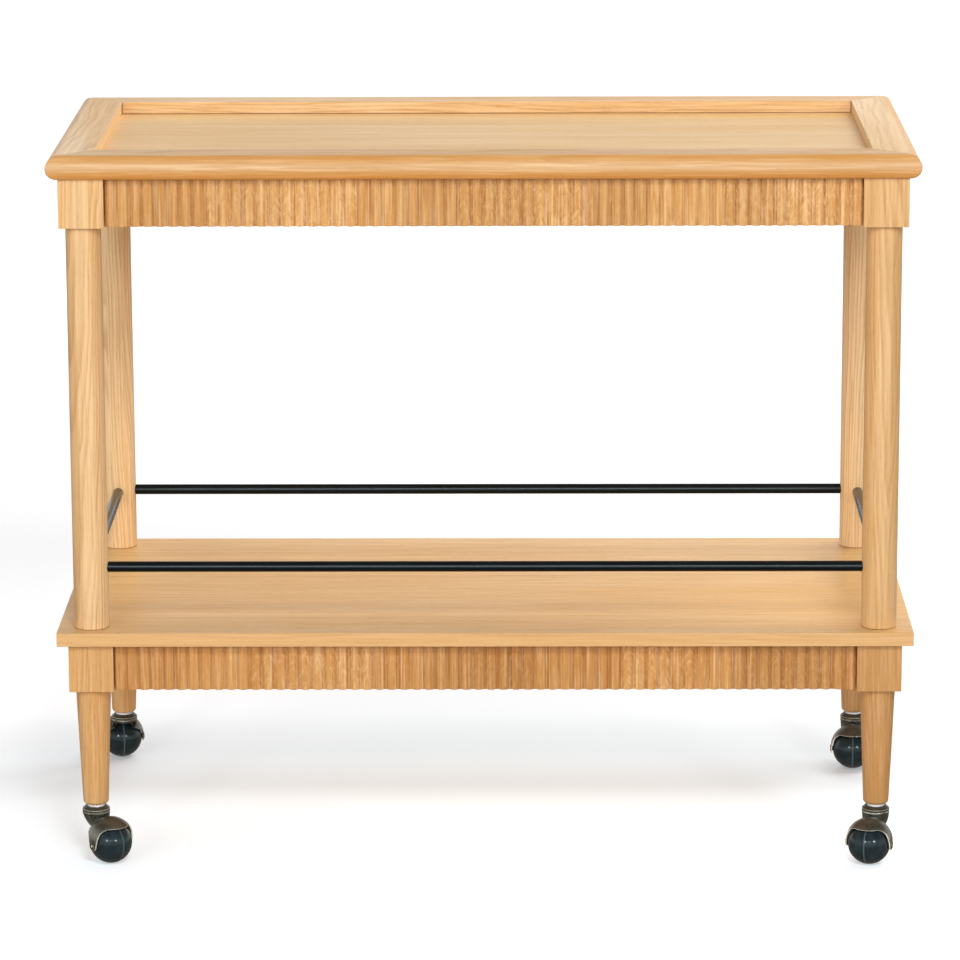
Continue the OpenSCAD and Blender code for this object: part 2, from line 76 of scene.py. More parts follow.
class Shader:
    """A node material written as short calls. Each call returns an output socket."""

    def __init__(self, name):
        self.material = bpy.data.materials.new(name)
        self.material.use_nodes = True
        self.tree = self.material.node_tree
        self.surface = self.tree.nodes["Principled BSDF"]
        self.coords = self.tree.nodes.new("ShaderNodeTexCoord")
        self.place = self.coords.outputs["Object"]

    def make(self, kind, sockets, **settings):
        n = self.tree.nodes.new("ShaderNode" + kind)
        for key, value in settings.items():
            setattr(n, key, value)
        for key, value in sockets.items():
            self.feed(n.inputs[key], value)
        return n

    def feed(self, socket, value):
        if isinstance(value, bpy.types.NodeSocket):
            self.tree.links.new(value, socket)
        else:
            socket.default_value = value

    def set(self, **values):
        """Feeds the shader's own sockets: underscores stand for spaces."""
        for key, value in values.items():
            self.feed(self.surface.inputs[key.replace("_", " ")], value)

    def math(self, operation, a, b=0.0, c=0.0):
        return self.make("Math", {0: a, 1: b, 2: c}, operation=operation).outputs[0]

    def times(self, *values):
        """The product of some numbers."""
        product = values[0]
        for value in values[1:]:
            product = self.math("MULTIPLY", product, value)
        return product

    def away(self, v, middle):
        """How far a number is from another."""
        return self.math("ABSOLUTE", self.math("SUBTRACT", v, middle))

    def vector(self, operation, a, b=(0.0, 0.0, 0.0)):
        n = self.make("VectorMath", {0: a, 1: b}, operation=operation)
        return n.outputs["Value" if operation in ("LENGTH", "DOT_PRODUCT") else "Vector"]

    def split(self, v):
        return self.make("SeparateXYZ", {0: v}).outputs[:]

    def join(self, x, y, z):
        return self.make("CombineXYZ", {0: x, 1: y, 2: z}).outputs[0]

    def local(self, centre, turn):
        """Places as seen from a centre, with X turned by so many radians."""
        sockets = {"Vector": self.place, "Location": centre, "Rotation": (0.0, 0.0, turn)}
        return self.make("Mapping", sockets, vector_type="TEXTURE").outputs[0]

    def noise(self, v, stretch, detail=2.0, rough=0.5, colour=False):
        """Noise with as many lumps for each metre as stretch says."""
        spread = self.vector("MULTIPLY", v, stretch)
        sockets = {"Vector": spread, "Scale": 1.0, "Detail": detail, "Roughness": rough}
        return self.make("TexNoise", sockets).outputs[1 if colour else 0]

    def wander(self, w, scale):
        """Slow noise along one number."""
        sockets = {"W": w, "Scale": scale, "Detail": 1.0}
        return self.make("TexNoise", sockets, noise_dimensions="1D").outputs[0]

    def span(self, v, low, high, to_low=0.0, to_high=1.0, smooth=True):
        """Goes from to_low to to_high while v goes from low to high."""
        sockets = {0: v, 1: low, 2: high, 3: to_low, 4: to_high}
        kind = "SMOOTHSTEP" if smooth else "LINEAR"
        return self.make("MapRange", sockets, interpolation_type=kind).outputs[0]

    def near(self, v, middle, inside, outside, most=1.0):
        """most where v is no further than inside from middle, and 0 beyond outside."""
        return self.span(self.away(v, middle), inside, outside, most, 0.0)

    def mix(self, factor, a, b, blend="MIX"):
        n = self.make("Mix", {}, data_type="RGBA", blend_type=blend)
        for index, value in ((0, factor), (6, a), (7, b)):
            self.feed(n.inputs[index], value)
        return n.outputs[2]

    def blend(self, factor, one, other):
        """From one screen colour to another."""
        return self.mix(factor, tone(one), tone(other))

    def paint(self, colour, factor, code):
        """Lays a screen colour over a colour."""
        return self.mix(factor, colour, tone(code))

    def lift(self, colour, factor, by):
        """Multiplies a colour's red, green and blue."""
        return self.mix(factor, colour, by + (1.0,), "MULTIPLY")

    def steps(self, v, stops):
        """A number that follows (place, value) stops."""
        n = self.make("ValToRGB", {0: v})
        fill_ramp(n.color_ramp, [(at, (value, value, value)) for at, value in stops])
        return n.outputs[0]

    def eased(self, radius):
        """The surface's normal with its edges rounded to that radius."""
        return self.make("Bevel", {"Radius": radius}, samples=4).outputs[0]

    def edge(self, eased, start=0.995, full=0.88):
        """1 on an edge, 0 away from it."""
        normal = self.make("NewGeometry", {}).outputs["Normal"]
        return self.span(self.vector("DOT_PRODUCT", eased, normal), start, full)

    def bump(self, height, depth, strength, normal=None):
        sockets = {"Height": height, "Distance": depth, "Strength": strength}
        if normal is not None:
            sockets["Normal"] = normal
        self.set(Normal=self.make("Bump", sockets).outputs[0])


def fill_ramp(ramp, stops):
    """Gives a colour ramp its (place, colour) stops."""
    while len(ramp.elements) < len(stops):
        ramp.elements.new(0.5)
    for element, (at, colour) in zip(ramp.elements, stops):
        element.position = at
        element.color = colour + (1.0,)


def own_strip(s, across, seed, reeds, strips):
    """Three random numbers for each reed, or for each strip of a glued board, which is cut from another
    place of the tree. Reeds that lie side by side often come from one board, so theirs are alike."""
    if reeds:
        index = s.math("ADD", s.math("FLOOR", s.math("DIVIDE", across, PITCH[reeds])), 0.5 + 31.0 * seed)
        sockets = {"W": index, "Scale": 0.20, "Randomness": 0.9}
        board = s.make("TexVoronoi", sockets, voronoi_dimensions="1D").outputs["Color"]
        single = s.make("TexWhiteNoise", {"W": index}, noise_dimensions="1D").outputs["Color"]
        return s.split(s.mix(0.16, board, single))
    first, width = strips
    index = s.math("FLOOR", s.math("DIVIDE", s.math("SUBTRACT", across, first), width))
    sockets = {"W": s.math("ADD", index, 17.0 * seed)}
    return s.split(s.make("TexWhiteNoise", sockets, noise_dimensions="1D").outputs["Color"])


def years(s, wood, along, pith, ring, taper, wave):
    """Growth rings round the pith, bent by slow waves: how early in its year each place grew, and how
    strong a year it was."""
    half = (0.5, 0.5, 0.5)
    bend = s.vector("SUBTRACT", s.noise(wood, (2.6, 6.0, 6.0), 2.0, 0.45, True), half)
    ripple = s.vector("SUBTRACT", s.noise(wood, (22.0, 70.0, 70.0), 1.0, 0.5, True), half)
    bent = s.vector("ADD", wood, s.vector("MULTIPLY", bend, (0.0, 4 * wave, 4 * wave)))
    bent = s.vector("ADD", bent, s.vector("MULTIPLY", ripple, (0.0, 0.0016, 0.0016)))
    _, side_a, side_b = s.split(s.vector("SUBTRACT", bent, (0.0, pith[0], pith[1])))
    radius = s.math("SQRT", s.math("ADD", s.times(side_a, side_a), s.times(side_b, side_b)))
    radius = s.math("MULTIPLY_ADD", along, taper, radius)
    phase = s.math("DIVIDE", radius, ring)
    phase = s.math("MULTIPLY_ADD", s.wander(phase, 0.31), 1.8, phase)
    through_year = [(0.0, 0.25), (0.10, 1.0), (0.32, 0.72), (0.62, 0.12), (0.90, 0.05), (1.0, 0.25)]
    early = s.steps(s.math("FRACT", phase), through_year)
    strength = s.span(s.wander(s.math("FLOOR", phase), 0.73), 0.3, 0.7, 0.35, 1.0)
    return early, strength


def saw_marks(s, colour, wood, local, beside, pitch, shown):
    """The saw cut shows as small nested V marks down each reed, and as reddish veins."""
    along, across, deep = local
    vee = s.join(s.math("MULTIPLY_ADD", beside, 1.5 * pitch, along), across, deep)
    mottle = s.noise(vee, (190.0, 170.0, 170.0), 4.0, 0.65)
    vein = s.noise(wood, (6.0, 400.0, 400.0), 3.0, 0.6)
    colour = s.paint(colour, s.times(s.span(mottle, 0.50, 0.66, 0.0, 0.46), shown), "#F2CC9C")
    colour = s.paint(colour, s.times(s.span(mottle, 0.34, 0.48, 0.36, 0.0), shown), "#A5642C")
    return s.paint(colour, s.span(vein, 0.55, 0.66, 0.0, 0.50), "#AE6230")


def strip_tone(s, colour, jitter, darkest, palest):
    """Each strip has a tone of its own, and a darker one is warmer too."""
    level = s.span(jitter, 0.1, 0.9, darkest, palest, False)
    warm = s.math("POWER", level, 1.6)
    strength = s.join(level, s.times(s.math("ADD", level, warm), 0.5), warm)
    return s.mix(1.0, colour, strength, "MULTIPLY")


def flute_shading(s, colour, groove, light, mid):
    """Painted light and shade on the reeds: darker crests, paler flanks and dark painted shade in the
    flutes. groove is (axis that they face, its value at the crests, how much painted shade lies in the
    flutes)."""
    axis, crest, flute_shade = groove
    x, y, _ = s.split(s.place)
    depth = s.math("SUBTRACT", crest, s.math("ABSOLUTE", {"x": x, "y": y}[axis]))
    flank = s.times(s.span(depth, 0.0006, 0.0019), s.span(depth, 0.0026, 0.0031, 0.42, 0.0))
    # Painted shade on the crests, painted light on the flanks
    colour = s.paint(colour, s.span(depth, 0.0002, 0.0016, 0.40, 0.0), mid)
    colour = s.paint(colour, flank, light)
    # Painted shade in the flutes
    return s.paint(colour, s.span(depth, 0.0025, REED_H, 0.0, flute_shade), "#8E5A26")


def beyond(s, edge_x, edge_y):
    """How far a place lies outside a rectangle round the cart's middle, in X and in Y."""
    x, y, _ = s.split(s.place)
    beyond_x = s.math("SUBTRACT", s.math("ABSOLUTE", x), edge_x)
    beyond_y = s.math("SUBTRACT", s.math("ABSOLUTE", y), edge_y)
    return beyond_x, beyond_y


def rim_lines(s, colour, inner=None):
    """The rims' rounded nose, their mitres and the dark lines of the tray, with painted light and shade:
    a painted highlight band along the nose's middle, painted shade above and below it, and painted light
    on its lower part. The tray's dark lines are joint lines with painted shade in its creases. inner is a
    colour of painted light and shade for the upright inner face, and how much of it."""
    z = s.split(s.place)[2]
    out_x, out_y = beyond(s, RIM_X, RIM_Y)
    in_x, in_y = beyond(s, PANEL_X, PANEL_Y)
    nose = s.span(s.math("MAXIMUM", out_x, out_y), -0.0130, -0.0095)
    # Painted highlight along the nose's middle, painted shade above and below it
    middle = s.near(z, NOSE_Z, 0.0015, 0.0105)
    colour = s.paint(colour, s.times(nose, middle, 0.22), "#F6D2B0")
    colour = s.paint(colour, s.times(nose, s.math("SUBTRACT", 1.0, middle), 0.46), "#CF8B3C")
    # Painted light on the nose's lower part
    below = s.times(nose, s.span(z, NOSE_Z - 0.0143, NOSE_Z - 0.0043, 1.0, 0.0))
    colour = s.lift(colour, below, (1.22, 1.17, 1.04))
    mitre = s.near(out_x, out_y, 0.0002, 0.0006, 0.35)
    face = s.span(s.math("MAXIMUM", in_x, in_y), 0.0003, 0.0006, 1.0, 0.0)
    # Painted light and shade on the upright inner face
    if inner:
        colour = s.paint(colour, s.times(face, inner[1]), inner[0])
    # Dark joint lines, with painted shade at the foot of the rims and in the tray's corners
    low = s.span(z, PANEL_TOP + 0.0005, PANEL_TOP + 0.0013, 0.75, 0.0)
    foot = s.times(low, s.span(in_x, -0.0020, -0.0010, 1.0, 0.2))
    upright = s.span(s.math("MINIMUM", in_x, in_y), -0.0016, -0.0008, 0.0, 0.7)
    corner = s.times(upright, s.span(z, RIM_TOP - 0.0015, RIM_TOP - 0.0005, 1.0, 0.0))
    tray = s.times(face, s.math("MAXIMUM", foot, corner))
    return s.paint(colour, s.math("MAXIMUM", mitre, tray), JOINT_AND_SHADE_LINE)


def panel_lines(s, colour):
    """The panel is paler towards the back and the left, painted light. It is dark where it meets the long
    rims: a joint line with painted shade.
    """
    x, y, _ = s.split(s.place)
    # Painted light towards the back and the left
    colour = s.lift(colour, s.span(y, 0.120, 0.168), (1.20, 1.20, 1.21))
    colour = s.lift(colour, s.span(x, -0.42, -0.16, 1.0, 0.0), (1.09, 1.10, 1.11))
    in_y = beyond(s, PANEL_X, PANEL_Y)[1]
    # Joint line with painted shade along the long rims
    return s.paint(colour, s.span(in_y, -0.0014, -0.0006, 0.0, 0.6), JOINT_AND_SHADE_LINE)


def shelf_lines(s, colour):
    """The shelf's top has painted light along the middle and painted shade towards the front. Its edges
    are browner.
    """
    _, y, z = s.split(s.place)
    low, high = SHELF_TOP - 0.0005, SHELF_TOP - 0.00005
    front = s.times(s.span(y, -0.228, -0.145, 1.0, 0.0), s.span(z, low, high))
    middle = s.times(s.span(y, -0.165, -0.125), s.span(y, 0.01, 0.10, 1.0, 0.0))
    # Painted shade towards the front, painted light along the middle
    colour = s.lift(colour, front, (0.85, 0.83, 0.80))
    colour = s.lift(colour, middle, (1.10, 1.09, 1.03))
    return s.paint(colour, s.span(z, low, high, 0.48, 0.0), "#C2986A")


def foot_line(s, colour):
    """The dark line where a post stands on the shelf."""
    z = s.split(s.place)[2]
    return s.paint(colour, s.span(z, SHELF_TOP + 0.00045, SHELF_TOP + 0.00125, 0.7, 0.0), JOINT_AND_SHADE_LINE)


def oak(
    name,
    grain,
    pith,
    seed,
    light=LIGHT,
    mid=MID,
    dark=DARK,
    ring=0.0038,
    taper=0.03,
    wave=0.009,
    contrast=0.5,
    flecks=0.12,
    threads=0.10,
    strips=None,
    reeds=None,
    marks=1.0,
    groove=None,
    lines=None,
):
    """Satin lacquered oak, solid all through.

    grain is the axis that it runs along, and pith is where the heart of the tree lay beside the piece,
    across the grain. light, mid and dark are its tones. ring is the years' width, taper their slope
    along the grain, wave how far they bend and contrast how strongly they show. flecks and threads give
    the strength of the ray flecks and of the fine pale and dark threads. strips is (first edge, width)
    of the strips that it is glued from. reeds is "front" or "side" where each reed is a strip of its
    own, with marks as the strength of its saw marks and groove as flute_shading takes it, for painted
    light and shade on the reeds. lines adds the dark lines of joints, and painted light and shade."""
    s = Shader(name)
    # Where the wood lay in its tree
    x, y, z = s.split(s.place)
    along, across, deep = {"x": (x, y, z), "y": (y, x, z), "z": (z, x, y)}[grain]
    if reeds == "side":
        across, deep = y, x
    if reeds:
        beside = s.away(s.math("FRACT", s.math("DIVIDE", across, PITCH[reeds])), 0.5)
    if reeds or strips:
        jitter, jump_across, jump_deep = own_strip(s, across, seed, reeds, strips)
        along = s.math("MULTIPLY_ADD", jump_deep, 1.7, along)
        across = s.math("MULTIPLY_ADD", s.math("SUBTRACT", jump_across, 0.5), 0.09, across)
        deep = s.math("MULTIPLY_ADD", s.math("SUBTRACT", jump_deep, 0.5), 0.05, deep)
    wood = s.vector("ADD", s.join(along, across, deep), (0.37 * seed, 0.0, 0.0))

    # Years, fibres, open pores and ray flecks
    early, strength = years(s, wood, along, pith, ring, taper, wave)
    fibre = s.noise(wood, (7.0, 620.0, 620.0), 3.0, 0.6)
    streak = s.noise(wood, (3.0, 150.0, 150.0), 2.0, 0.55)
    broad = s.noise(wood, (1.6, 14.0, 14.0), 2.0, 0.5)
    pores = s.span(s.noise(wood, (75.0, 1900.0, 1900.0), 1.0, 0.5), 0.60, 0.70)
    pores = s.times(pores, s.math("MULTIPLY_ADD", early, 0.75, 0.25))
    ray = s.span(s.noise(wood, (46.0, 520.0, 210.0), 2.0, 0.5), 0.62, 0.74)
    thread = s.noise(wood, (11.0, 380.0, 380.0), 2.0, 0.5)

    colour = s.blend(s.span(broad, 0.3, 0.7), light, mid)
    colour = s.paint(colour, s.times(s.span(streak, 0.35, 0.72), 0.45), mid)
    colour = s.paint(colour, s.times(early, strength, contrast), dark)
    colour = s.paint(colour, s.times(s.span(fibre, 0.42, 0.75), 0.24), dark)
    colour = s.paint(colour, s.times(pores, 0.42), PORE)
    colour = s.paint(colour, s.span(thread, 0.50, 0.66, 0.0, threads), "#F6DAB4")
    colour = s.paint(colour, s.span(thread, 0.34, 0.48, threads, 0.0), dark)
    colour = s.paint(colour, s.times(ray, flecks), "#F2D2A2")
    if reeds:
        shown = s.span(jump_across, 0.30, 0.75, 0.40 * marks, 1.35 * marks)
        colour = saw_marks(s, colour, wood, (along, across, deep), beside, PITCH[reeds], shown)
        colour = strip_tone(s, colour, jitter, 0.79, 1.12)
    elif strips:
        colour = strip_tone(s, colour, jitter, 0.97, 1.03)
    if groove:
        # Painted light and shade on the reeds
        colour = flute_shading(s, colour, groove, light, mid)
    # Dark joint lines, and painted light and shade on the rims, the panel and the shelf
    if lines:
        colour = lines(s, colour)

    rough = s.math("MULTIPLY_ADD", pores, 0.16, s.span(broad, 0.25, 0.75, 0.36, 0.46))
    rough = s.math("MULTIPLY_ADD", s.math("SUBTRACT", fibre, 0.5), 0.12, rough)
    height = s.math("MULTIPLY_ADD", pores, -1.0, s.times(fibre, 0.35))
    height = s.math("MULTIPLY_ADD", early, -0.22, height)
    s.set(Base_Color=colour, Roughness=rough, IOR=1.5)
    s.bump(height, 0.00016, 0.45, s.eased(0.0009))
    return s.material


def rod_steel(name, seed):
    """Satin black powder coat with a faint orange peel and a few worn spots. Its reflection is painted by
    facing: strong where it faces out, and weaker above and below."""
    s = Shader(name)
    v = s.vector("ADD", s.place, (0.31 * seed, 0.17 * seed, 0.0))
    peel = s.noise(v, (950.0, 950.0, 950.0), 2.0, 0.5)
    cloud = s.noise(v, (18.0, 18.0, 60.0), 3.0, 0.55)
    rub = s.span(s.noise(v, (40.0, 40.0, 160.0), 3.0, 0.6), 0.60, 0.74)
    colour = s.blend(s.span(cloud, 0.3, 0.7), "#07090A", "#0B0F12")
    colour = s.paint(colour, s.times(rub, 0.20), "#232A2F")
    rough = s.math("ADD", s.span(cloud, 0.3, 0.7, 0.20, 0.26), s.times(rub, -0.04))
    up = s.split(s.coords.outputs["Normal"])[2]
    by_facing = [(0.0, 0.12), (0.42, 0.18), (0.57, 1.0), (0.70, 1.0), (0.84, 0.55), (1.0, 0.5)]
    # Painted reflection: strong where the rod faces out, weaker above and below
    shine = s.steps(s.span(up, -1.0, 1.0, smooth=False), by_facing)
    s.set(Base_Color=colour, Roughness=rough, Specular_IOR_Level=shine, Specular_Tint=tone("#D2E8F2"))
    s.bump(peel, 0.00005, 0.3)
    return s.material


def plated(name, base, worn, metal_rough, lathe=0.0, metallic=1.0):
    """Plated or polished metal: cloudy plating, fine turning marks round the upright axis, and a painted
    highlight along the edges.
    """
    s = Shader(name)
    cloud = s.noise(s.place, (160.0, 160.0, 160.0), 3.0, 0.6)
    specks = s.span(s.noise(s.place, (700.0, 700.0, 700.0), 2.0, 0.5), 0.58, 0.70)
    turning = s.noise(s.place, (40.0, 40.0, 5200.0), 1.0, 0.5)
    eased = s.eased(0.0004)
    colour = s.blend(s.span(cloud, 0.3, 0.7), base, worn)
    colour = s.paint(colour, s.times(specks, 0.35), "#6E6C66")
    # Painted highlight along the edges
    colour = s.paint(colour, s.times(s.edge(eased), 0.6), "#F2F0EA")
    rough = s.span(cloud, 0.3, 0.7, metal_rough, metal_rough + 0.12)
    rough = s.math("ADD", rough, s.times(specks, 0.12))
    s.set(Base_Color=colour, Metallic=metallic, Roughness=rough)
    s.bump(s.math("MULTIPLY_ADD", turning, lathe, cloud), 0.00003, 0.4, eased)
    return s.material


def caster_place(corner):
    """A caster's stem and the ball's centre, with the distance and the angle from one to the other."""
    stem, ball = JOINTS["swivel_" + corner], JOINTS["roll_" + corner]
    reach_x, reach_y = ball[0] - stem[0], ball[1] - stem[1]
    return stem, ball, math.hypot(reach_x, reach_y), math.atan2(reach_y, reach_x)


def hood_highlights_and_shade(s, colour, bright, ahead, height, ear, patch, ball):
    """A hood has painted highlights at its slanted cut, at the lip of it and at the rim of its race. It
    is darker near the neck, and has painted shade in the race's groove and round the axle's ends."""
    spoke = s.vector("SUBTRACT", s.place, tuple(ball))
    outward = s.vector("NORMALIZE", spoke)
    facing = s.math("ABSOLUTE", s.vector("DOT_PRODUCT", s.coords.outputs["Normal"], outward))
    cut = s.span(facing, 0.45, 0.70, 1.0, 0.0)
    front = s.times(s.span(ahead, 0.0215, 0.0235), s.span(height, 0.050, 0.052, 1.0, 0.0))
    skin = s.span(s.vector("LENGTH", spoke), HOOD_R - 0.0010, HOOD_R - 0.0006)
    lip = s.times(s.edge(s.eased(0.0011), 0.995, 0.85), front, 0.75)
    race = s.times(s.near(height, RACE_RIM, 0.00048, 0.0008), s.span(patch, 0.38, 0.62, 0.25, 0.75))
    # Painted highlights at the cut, the lip and the race's rim
    for highlight_mark in (s.times(cut, front, skin), lip, race):
        bright = s.math("MAXIMUM", bright, highlight_mark)
    colour = s.paint(colour, s.span(height, 0.0455, 0.0515, 0.0, 0.34), "#34342E")
    # Painted shade in the race's groove and round the axle's ends
    colour = s.paint(colour, s.near(height, RACE_GROOVE, 0.00036, 0.0006, 0.5), "#23211B")
    colour = s.paint(colour, s.span(ear, 0.0044, 0.0052, 0.7, 0.0), PAINTED_SHADE)
    return colour, bright


def axle_glint_and_shade(s, colour, bright, ear):
    """An axle's riveted ends have a painted glint in the middle, with a ring of painted shade round that.
    """
    # Painted glint in the middle of each riveted end
    bright = s.math("MAXIMUM", bright, s.span(ear, 0.0014, 0.0020, 0.9, 0.0))
    # Painted shade in a ring round it
    colour = s.paint(colour, s.near(ear, 0.0026, 0.0004, 0.0008, 0.7), PAINTED_SHADE)
    return colour, bright


def cap_highlights_and_shade(s, colour, bright, height):
    """A cap is darker than the hood below it, with painted highlights on two rims and painted shade in
    the groove between them.
    """
    rim = s.near(height, CAP_RIM, 0.00024, 0.0004)
    foot = s.near(height, CAP_FOOT, 0.00018, 0.0003)
    # Painted highlights on the two rims
    bright = s.math("MAXIMUM", bright, s.times(s.math("MAXIMUM", rim, foot), 0.55))
    colour = s.paint(colour, 0.45, "#3A3A33")
    # Painted shade in the groove
    colour = s.paint(colour, s.near(height, CAP_GROOVE, 0.00036, 0.0006, 0.8), PAINTED_SHADE)
    return colour, bright


def bronze(name, corner, seed, kind):
    """Antique bronze on one part of a caster, with dark patches. Light and shade are painted by facing:
    brown and darker where it faces up, paler grey at the sides. A painted highlight lies along the edges.
    kind is "hood", "axle" or "cap", and each of them has painted highlights and shade of its own."""
    s = Shader(name)
    stem, ball, trail, turn = caster_place(corner)
    local = s.local((stem[0], stem[1], 0.0), turn)
    ahead, _, height = s.split(local)
    up = s.split(s.coords.outputs["Normal"])[2]
    v = s.vector("ADD", local, (0.23 * seed, 0.0, 0.11 * seed))
    patch = s.noise(v, (70.0, 70.0, 70.0), 3.0, 0.55)
    grime = s.noise(v, (300.0, 300.0, 300.0), 3.0, 0.6)
    spin = s.noise(v, (50.0, 50.0, 1500.0), 2.0, 0.5)
    # Light and shade painted by facing: paler grey sides and a darker brown top
    sides = s.blend(s.span(patch, 0.32, 0.68), "#72736B", "#A0A198")
    crown = s.blend(s.span(patch, 0.35, 0.65), "#545146", "#6F6B5C")
    colour = s.mix(s.span(up, 0.10, 0.80), sides, crown)
    colour = s.paint(colour, s.times(s.span(grime, 0.54, 0.74), 0.45), "#27241D")
    eased = s.eased(0.0005)
    # Painted highlight along the edges
    bright = s.times(s.edge(eased, 0.99, 0.80), 0.6)
    # Distance from the axle's line, for the rings on and round its riveted ends
    from_axle = s.join(s.math("SUBTRACT", ahead, trail), s.math("SUBTRACT", height, ball[2]), 0.0)
    ear = s.vector("LENGTH", from_axle)

    if kind == "hood":
        colour, bright = hood_highlights_and_shade(s, colour, bright, ahead, height, ear, patch, ball)
    elif kind == "axle":
        colour, bright = axle_glint_and_shade(s, colour, bright, ear)
    else:
        colour, bright = cap_highlights_and_shade(s, colour, bright, height)
    # All the painted highlights are laid on here
    colour = s.paint(colour, bright, "#E9E4CE")
    rough = s.math("MULTIPLY_ADD", s.span(grime, 0.35, 0.7), 0.16, s.span(patch, 0.3, 0.7, 0.24, 0.32))
    rough = s.math("MULTIPLY_ADD", bright, -0.08, rough)
    metal = s.times(s.span(grime, 0.55, 0.8, 1.0, 0.75), s.span(up, 0.15, 0.75, 1.0, 0.62))
    metal = s.times(metal, s.math("MULTIPLY_ADD", bright, -0.6, 1.0))
    s.set(Base_Color=colour, Metallic=metal, Roughness=rough)
    s.bump(s.math("MULTIPLY_ADD", spin, 0.5, grime), 0.00005, 0.25, eased)
    return s.material


def rubber(name, corner, seed):
    """Glossy blue-black ball with a paler line where the mould's halves met, widened by a painted
    highlight along its ridge, faint clouds and fine rolling scuffs.
    """
    s = Shader(name)
    _, ball, _, turn = caster_place(corner)
    v = s.local(ball, turn)
    across = s.math("ABSOLUTE", s.split(v)[1])
    # Paler line where the mould's halves met, widened by a painted highlight along its ridge
    seam_and_highlight = s.span(across, 0.0006, 0.0012, 1.0, 0.0)
    moved = s.vector("ADD", v, (0.19 * seed, 0.07 * seed, 0.0))
    cloud = s.noise(moved, (70.0, 70.0, 70.0), 3.0, 0.6)
    scuffs = s.span(s.noise(moved, (260.0, 1500.0, 260.0), 2.0, 0.6), 0.60, 0.74)
    tread = s.times(scuffs, s.span(across, 0.004, 0.014, 1.0, 0.0))
    colour = s.blend(s.span(cloud, 0.3, 0.7), "#161E21", "#222D32")
    colour = s.paint(colour, s.times(tread, 0.18), "#39444A")
    colour = s.paint(colour, s.times(seam_and_highlight, 0.7), "#4C585E")
    rough = s.math("MULTIPLY_ADD", tread, 0.12, s.span(cloud, 0.3, 0.7, 0.13, 0.19))
    rough = s.math("MULTIPLY_ADD", seam_and_highlight, 0.25, rough)
    s.set(Base_Color=colour, Roughness=rough, IOR=1.45, Specular_Tint=tone("#D4EAEE"))
    s.bump(s.math("MULTIPLY_ADD", tread, -0.6, cloud), 0.00004, 0.2)
    return s.material


def dress(node, material):
    """Gives a CAD node its finish."""
    mesh = nodes[node].data
    mesh.materials.clear()
    mesh.materials.append(material)


def dress_oak(node, grain, pith, seed, name=None, **wood):
    """Gives a CAD node oak of its own, named after the node or as name says."""
    dress(node, oak("oak_" + (name or node), grain, pith, seed, **wood))


# Top and shelf. The wood of the rims, where they differ. The front rim's darker tones are painted shade
# and the side rims' paler ones painted light
RIM_WOOD = {
    "front": {"light": "#D6B07C", "mid": "#C99A5E", "lines": rim_lines},
    "back": {"lines": rim_lines},
    "left": {
        "light": "#F2D1A3",
        "mid": "#E4BA82",
        # Paler inner face, painted light
        "lines": partial(rim_lines, inner=("#FFDAA0", 0.35)),
    },
    "right": {
        "light": "#F1D2A6",
        "mid": "#E5BE88",
        # Darker inner face, painted shade
        "lines": partial(rim_lines, inner=("#A87642", 0.15)),
    },
}
for seed, side in enumerate(SIDES, 1):
    is_long = side in ("front", "back")
    middle = (RIM_Y if is_long else RIM_X) - RIM_W / 2
    if side in ("front", "left"):
        middle = -middle
    dress_oak(
        "rim_" + side,
        "x" if is_long else "y",
        (middle + 0.028, 0.79),
        seed,
        ring=0.0042,
        taper=0.02,
        contrast=0.30 if side == "right" else 0.42,
        flecks=0.10 if is_long else 0.42,
        threads=0.28 if is_long else 0.15,
        **RIM_WOOD[side],
    )
dress_oak(
    "tray_panel",
    "x",
    (-0.75, 0.30),
    5,
    name="panel",
    light="#E4C08A",
    mid="#DAB075",
    ring=0.0050,
    taper=0.012,
    wave=0.006,
    contrast=0.20,
    flecks=0.08,
    threads=0.12,
    strips=PANEL_STRIPS,
    lines=panel_lines,
)
dress_oak(
    "shelf",
    "x",
    (0.62, -0.22),
    6,
    light="#F1C587",
    mid="#E8B876",
    ring=0.0050,
    taper=0.012,
    wave=0.006,
    contrast=0.26,
    flecks=0.10,
    threads=0.18,
    strips=SHELF_STRIPS,
    lines=shelf_lines,
)

# Posts and legs
# Light and mid tone of each. They differ by corner as painted light and shade: the rear posts paler, the
# front right one darker
POST_TONES = {
    "front_left": ("#ECC898", "#E0B37A"),
    "front_right": ("#E3BE8E", "#D6A86E"),
    "rear_left": ("#F6D6A8", "#ECC48E"),
    "rear_right": ("#F6D6A8", "#ECC48E"),
}
# The legs' tones are darker than the posts', painted shade low down, and differ by corner like them: the
# rear legs paler, the front right one darker
LEG_TONES = {
    "front_left": ("#DBAE77", "#CC9A5F"),
    "front_right": ("#CB9D67", "#BC8A51"),
    "rear_left": ("#E0B681", "#D2A269"),
    "rear_right": ("#E0B681", "#D2A269"),
}
# Kind, its tones, how far off the pith lay, shift of seed, dark lines
UPRIGHTS = (
    ("post", POST_TONES, 0.062, 0, foot_line),
    ("leg", LEG_TONES, 0.055, 5, None),
)
for seed, corner in enumerate(CORNERS, 7):
    post_x, post_y, _ = JOINTS["swivel_" + corner]
    lean = math.radians(70 + 97 * seed)
    for kind, tones, far, shift, lines in UPRIGHTS:
        light, mid = tones[corner]
        dress_oak(
            f"{kind}_{corner}",
            "z",
            (post_x + far * math.cos(lean), post_y + far * math.sin(lean)),
            seed + shift,
            light=light,
            mid=mid,
            ring=0.0046,
            taper=0.03,
            wave=0.008,
            contrast=0.56,
            flecks=0.12,
            threads=0.14,
            strips=(post_x - BLOCK_HALF, POST_STRIP),
            lines=lines,
        )

